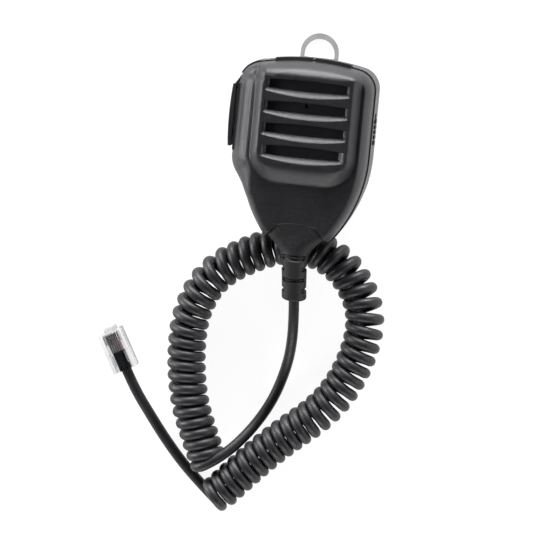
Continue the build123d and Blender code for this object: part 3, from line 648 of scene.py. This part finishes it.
# Sections of the collar: y, half width, half height, power of its rounded box (2 is round).
COLLAR_SHAPE = [
    (-38.8, 12.8, 5.75, 4.2),
    (-43.0, 13.2, 5.75, 3.8),
    (-44.6, 13.1, 5.8, 3.4),
    (-46.2, 12.1, 5.95, 2.9),
    (-48.2, 10.0, 6.1, 2.5),
    (-50.2, 8.2, 6.15, 2.2),
    (-52.0, 7.0, 6.15, 2.05),
    (-53.4, 6.4, 6.15, 2.0),
    (-54.0, 6.25, 6.15, 2.0),
]
# The strain relief: distance beyond the neck, radius.
NOSE_SHAPE = [
    (0.0, 6.2),
    (2.0, 6.0),
    (8.0, 5.75),
    (14.0, 5.65),
    (19.0, 5.75),
    (19.8, 5.7),
    (20.2, 5.45),
    (20.4, 5.0),
]
# Rows of slots: distance beyond the neck, and whether they lie at the sides or above and below.
BOOT_ROWS = ((0.2, False), (5.3, True), (10.4, False), (15.6, True))
BOOT_SLOT_EDGE = (0.83, 1.07)
BOOT_SLOT_DEPTH = 1.25
BOOT_BAR_EDGE = (0.22, 0.42)
BOOT_BAR_HEIGHT = 0.6
BOOT_SIDE_SPREAD = (41, 47)
BOOT_TOP_SPREAD = (60, 66)
BOOT_AROUND = 168
COLLAR_RINGS = 60
NOSE_STEP = 0.12
NOSE_TIP = 19.2
NOSE_TIP_RINGS = 14
NOSE_TURN_REACH = 2.0


def boot_slots(along, turns):
    """Depth of the strain relief's slots at one place along the nose for every angle (from the top)."""
    depth = np.zeros(len(turns))
    for centre, sides in BOOT_ROWS:
        gap = abs(along - centre)
        if sides:
            reach = fall(np.abs(np.abs(turns) - 90), BOOT_SIDE_SPREAD)
        else:
            reach = fall(np.minimum(np.abs(turns), 180 - np.abs(turns)), BOOT_TOP_SPREAD)
        bar = BOOT_BAR_HEIGHT * fall(gap, BOOT_BAR_EDGE)
        depth += reach * fall(gap, BOOT_SLOT_EDGE) * (BOOT_SLOT_DEPTH - bar)
    return depth


def collar_ring(y, turns):
    """The collar's section at y, less the slots that reach into it."""
    shape = np.array(COLLAR_SHAPE)
    half, high, power = (np.interp(-y, -shape[:, 0], shape[:, k]) for k in (1, 2, 3))
    across, up = np.sin(np.radians(turns)), np.cos(np.radians(turns))
    x = half * np.sign(across) * np.abs(across) ** (2 / power)
    z = high * np.sign(up) * np.abs(up) ** (2 / power)
    keep = 1 - boot_slots(BOOT_NECK - y, turns) / np.hypot(x, z)
    return [(a * k, y, BOOT_AXIS + b * k) for a, b, k in zip(x, z, keep)]


def nose_ring(along, turns):
    """The strain relief's section this far beyond the neck, on an axis that droops and sways."""
    nose = np.array(NOSE_SHAPE)
    radii = np.interp(along, nose[:, 0], nose[:, 1]) - boot_slots(along, turns)
    side = along * math.cos(BOOT_DROOP) * math.sin(BOOT_SWAY)
    back = BOOT_NECK - along * math.cos(BOOT_DROOP) * math.cos(BOOT_SWAY)
    drop = BOOT_AXIS - along * math.sin(BOOT_DROOP)
    lean = BOOT_DROOP * smooth_step(along / NOSE_TURN_REACH)
    ring = []
    for turn, radius in zip(np.radians(turns), radii):
        up = radius * math.cos(turn)
        ring.append((side + radius * math.sin(turn), back - up * math.sin(lean), drop + up * math.cos(lean)))
    return ring


def cord_boot():
    """The cord's collar and slotted strain relief, closed at both ends."""
    turns = np.linspace(-180, 180, BOOT_AROUND, endpoint=False)
    rings = [collar_ring(y, turns) for y in np.linspace(BOOT_FRONT, BOOT_NECK, COLLAR_RINGS)[:-1]]
    rings += [nose_ring(along, turns) for along in np.arange(0, NOSE_TIP, NOSE_STEP)]
    rings += [nose_ring(along, turns) for along in np.linspace(NOSE_TIP, BOOT_REACH, NOSE_TIP_RINGS)]
    verts = [point for ring in rings for point in ring]
    faces = ring_faces(len(rings), BOOT_AROUND)
    faces.append(tuple(range(BOOT_AROUND))[::-1])
    faces.append(tuple(range(len(verts) - BOOT_AROUND, len(verts))))
    return mesh_object("cord_boot_soft", verts, faces, smooth_angle=44)


# In metres.
SPRING_WIRE = 0.0003
SPRING_TURNS = 6


def return_spring():
    """Coil spring behind the talk plunger, squeezed as the plunger goes in."""
    low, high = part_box("ptt_spring")
    middle = (low + high) / 2
    radius = (high.y - low.y) / 2 - SPRING_WIRE / 2
    start, end = low.x + SPRING_WIRE, high.x - SPRING_WIRE
    steps = SPRING_TURNS * POINTS_PER_TURN
    points = []
    for step in range(steps + 1):
        angle = step * 2 * math.pi / POINTS_PER_TURN
        along = start + (end - start) * step / steps
        points.append((along, middle.y + radius * math.cos(angle), middle.z + radius * math.sin(angle)))
    spring = round_tube("return_spring", points, SPRING_WIRE)
    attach(spring, "microphone")
    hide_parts("ptt_spring")
    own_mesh(spring)
    return spring


# ---------------------------------------------------------------- materials


class Look:
    """A procedural material: grain, mottle and bump read from the object's own coordinates."""

    def __init__(self, name, **values):
        self.material = bpy.data.materials.new(name)
        self.material.use_nodes = True
        self.nodes = self.material.node_tree.nodes
        self.links = self.material.node_tree.links
        self.shader = self.nodes["Principled BSDF"]
        self.place = self.nodes.new("ShaderNodeTexCoord").outputs["Object"]
        for socket, value in values.items():
            self.shader.inputs[socket.replace("_", " ")].default_value = value

    def noise(self, scale, detail=2.0, rough=0.5):
        node = self.nodes.new("ShaderNodeTexNoise")
        node.inputs["Scale"].default_value = scale
        node.inputs["Detail"].default_value = detail
        node.inputs["Roughness"].default_value = rough
        self.links.new(self.place, node.inputs["Vector"])
        return node.outputs["Fac"]

    def ramp(self, source, low, high, start=0.35, end=0.65):
        node = self.nodes.new("ShaderNodeValToRGB")
        node.color_ramp.elements[0].position = start
        node.color_ramp.elements[0].color = low
        node.color_ramp.elements[1].position = end
        node.color_ramp.elements[1].color = high
        self.links.new(source, node.inputs["Fac"])
        return node.outputs["Color"]

    def colour(self, source, low, high, start=0.35, end=0.65):
        colour = self.ramp(source, (*low, 1), (*high, 1), start, end)
        self.links.new(colour, self.shader.inputs["Base Color"])

    def roughness(self, source, low, high, start=0.3, end=0.7):
        node = self.nodes.new("ShaderNodeMapRange")
        node.inputs["From Min"].default_value = start
        node.inputs["From Max"].default_value = end
        node.inputs["To Min"].default_value = low
        node.inputs["To Max"].default_value = high
        self.links.new(source, node.inputs["Value"])
        self.links.new(node.outputs["Result"], self.shader.inputs["Roughness"])

    def bump(self, source, strength, distance):
        node = self.nodes.new("ShaderNodeBump")
        node.inputs["Strength"].default_value = strength
        node.inputs["Distance"].default_value = distance
        self.links.new(source, node.inputs["Height"])
        last = self.shader.inputs["Normal"]
        if last.is_linked:
            self.links.new(last.links[0].from_socket, node.inputs["Normal"])
        self.links.new(node.outputs["Normal"], last)


def grained_plastic(name, dark, light, low, high, grain, depth):
    look = Look(name)
    look.colour(look.noise(60, 4), dark, light)
    look.roughness(look.noise(900, 3), low, high)
    look.bump(look.noise(grain, 2, 0.6), 0.5, depth)
    return look.material


def jacket_rubber():
    look = Look("cord_jacket_rubber")
    look.colour(look.noise(90, 3), (0.007, 0.007, 0.009), (0.012, 0.012, 0.015))
    look.roughness(look.noise(400, 3), 0.44, 0.54)
    look.bump(look.noise(1800, 2), 0.15, 0.00004)
    return look.material


def satin_steel(name, dark, light, metallic=1.0):
    look = Look(name, Metallic=metallic)
    look.colour(look.noise(150, 5), dark, light)
    look.roughness(look.noise(1200, 4), 0.28, 0.45)
    look.bump(look.noise(2600, 2), 0.1, 0.00003)
    return look.material


def clear_plastic():
    look = Look("clear_plug_plastic", IOR=1.49, Transmission_Weight=1.0)
    look.colour(look.noise(200, 3), (0.78, 0.79, 0.80), (0.88, 0.88, 0.89))
    look.roughness(look.noise(500, 3), 0.06, 0.16)
    look.bump(look.noise(300, 2), 0.1, 0.00005)
    return look.material


def board_lacquer():
    look = Look("board_lacquer")
    look.colour(look.noise(500, 4), (0.01, 0.10, 0.03), (0.02, 0.22, 0.08))
    look.roughness(look.noise(700, 2), 0.25, 0.4)
    return look.material


def pressed_felt():
    look = Look("pressed_felt")
    look.colour(look.noise(3000, 5), (0.03, 0.03, 0.03), (0.09, 0.09, 0.09))
    look.roughness(look.noise(2000, 2), 0.8, 1.0)
    look.bump(look.noise(4000, 4), 0.8, 0.0002)
    return look.material


def gold_plate():
    look = Look("gold_plate", Metallic=1.0)
    look.colour(look.noise(900, 3), (0.78, 0.66, 0.42), (0.90, 0.80, 0.58))
    look.roughness(look.noise(800, 3), 0.2, 0.35)
    return look.material


def wire_plastic():
    """Dark wires side by side, the last one pink."""
    look = Look("wire_plastic")
    across = look.nodes.new("ShaderNodeVectorMath")
    across.operation = "DOT_PRODUCT"
    turn = math.radians(PLUG_HEADING)
    across.inputs[1].default_value = (math.sin(turn), -math.cos(turn), 0)
    look.links.new(look.place, across.inputs[0])
    middle = PLUG_REAR[0] * math.sin(turn) - PLUG_REAR[1] * math.cos(turn)
    spread = look.nodes.new("ShaderNodeMapRange")
    spread.inputs["From Min"].default_value = middle - WIRE_SPREAD
    spread.inputs["From Max"].default_value = middle + WIRE_SPREAD
    look.links.new(across.outputs["Value"], spread.inputs["Value"])
    look.colour(spread.outputs["Result"], (0.22, 0.22, 0.23), (0.72, 0.28, 0.32), 0.80, 0.84)
    look.roughness(look.noise(800, 3), 0.3, 0.45)
    return look.material


def make_materials():
    shell = grained_plastic(
        "case_shell_plastic", (0.010, 0.010, 0.012), (0.015, 0.015, 0.018), 0.36, 0.46, 2200, 0.0003
    )
    lever = grained_plastic(
        "lever_plastic", (0.010, 0.010, 0.012), (0.016, 0.016, 0.018), 0.38, 0.50, 3000, 0.00004
    )
    rubber = grained_plastic(
        "moulded_rubber", (0.006, 0.006, 0.007), (0.010, 0.010, 0.012), 0.45, 0.60, 2200, 0.00003
    )
    inner = grained_plastic(
        "inner_plastic", (0.05, 0.05, 0.055), (0.08, 0.08, 0.085), 0.35, 0.5, 2000, 0.00003
    )
    return {
        "case_plastic": shell,
        "lever_plastic": lever,
        "key_rubber": rubber,
        "boot_rubber": rubber,
        "cord_jacket": jacket_rubber(),
        "hanger_steel": satin_steel("hanger_satin_steel", (0.40, 0.40, 0.40), (0.48, 0.48, 0.48), 0.25),
        "screw_steel": satin_steel("screw_steel", (0.25, 0.25, 0.26), (0.36, 0.36, 0.37)),
        "capsule_metal": satin_steel("capsule_metal", (0.6, 0.6, 0.62), (0.75, 0.75, 0.77)),
        "inner_plastic": inner,
        "board_green": board_lacquer(),
        "felt": pressed_felt(),
        "contact_brass": gold_plate(),
        "wire_plastic": wire_plastic(),
        "plug_clear": clear_plastic(),
    }


def dress_nodes(materials):
    """Every CAD node that stays takes the material of its slot in the record."""
    for part in frame["record"]["subparts"]:
        mesh = frame["nodes"][part["node"]].data
        mesh.materials.clear()
        mesh.materials.append(materials[part["material_slot"]])


# ---------------------------------------------------------------- studio

FLOOR_HALF = 2.5
FLOOR_GLOW = 0.92
HORIZON_COLOUR = (0.6, 0.6, 0.618, 1)
ZENITH_COLOUR = (0.0, 0.0, 0.0, 1)
SKY_FADE_END = 0.85
LIGHT_AIM = Vector((-0.01, -0.06, 0.01))
# Area lights: name, place, width and height in metres, power in watts.
LIGHTS = [
    ("top_softbox", (0.0, 1.50, 0.40), (1.7, 0.7), 76),
    ("left_softbox", (-1.45, 0.15, 0.42), (0.6, 0.7), 23),
    ("low_softbox", (0.0, -1.50, 0.50), (1.4, 0.5), 12),
    ("right_softbox", (1.40, -0.1, 0.50), (0.4, 0.7), 4.5),
]


def make_floor():
    """Plain white paper that stays pale where the object shades it."""
    mesh = bpy.data.meshes.new("floor")
    corners = [(x * FLOOR_HALF, y * FLOOR_HALF, 0) for x, y in ((-1, -1), (1, -1), (1, 1), (-1, 1))]
    mesh.from_pydata(corners, [], [(0, 1, 2, 3)])
    floor = bpy.data.objects.new("floor", mesh)
    bpy.context.scene.collection.objects.link(floor)
    look = Look("floor_paper", Roughness=0.9, Emission_Color=(1, 1, 1, 1), Emission_Strength=FLOOR_GLOW)
    look.colour(look.noise(8, 2), (0.20, 0.20, 0.20), (0.22, 0.22, 0.22))
    mesh.materials.append(look.material)


def make_world():
    """Pale surround near the horizon, dark overhead."""
    world = bpy.data.worlds.new("studio")
    world.use_nodes = True
    nodes, links = world.node_tree.nodes, world.node_tree.links
    place = nodes.new("ShaderNodeTexCoord")
    split = nodes.new("ShaderNodeSeparateXYZ")
    ramp = nodes.new("ShaderNodeValToRGB")
    ramp.color_ramp.elements[0].position = 0.0
    ramp.color_ramp.elements[0].color = HORIZON_COLOUR
    ramp.color_ramp.elements[1].position = SKY_FADE_END
    ramp.color_ramp.elements[1].color = ZENITH_COLOUR
    links.new(place.outputs["Generated"], split.inputs["Vector"])
    links.new(split.outputs["Z"], ramp.inputs["Fac"])
    links.new(ramp.outputs["Color"], nodes["Background"].inputs["Color"])
    bpy.context.scene.world = world


def make_light(name, place, size, power):
    """A rectangular area light turned towards the microphone."""
    data = bpy.data.lights.new(name, "AREA")
    data.shape = "RECTANGLE"
    data.size, data.size_y = size
    data.energy = power
    light = bpy.data.objects.new(name, data)
    light.location = place
    light.rotation_euler = (LIGHT_AIM - Vector(place)).to_track_quat("-Z", "Y").to_euler()
    bpy.context.scene.collection.objects.link(light)


def make_studio():
    make_floor()
    make_world()
    for light in LIGHTS:
        make_light(*light)
    bpy.context.scene.view_settings.view_transform = "Standard"


make_camera()
cord, cord_path = make_cord()
materials = make_materials()
dress_nodes(materials)
cord.data.materials.append(materials["cord_jacket"])
shell = front_shell()
shell.data.materials.append(materials["case_plastic"])
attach(shell, "microphone")
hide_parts("front_case")
spring = return_spring()
spring.data.materials.append(materials["screw_steel"])
boot = cord_boot()
boot.data.materials.append(materials["boot_rubber"])
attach(boot, "microphone")
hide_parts("cord_boot")
make_studio()
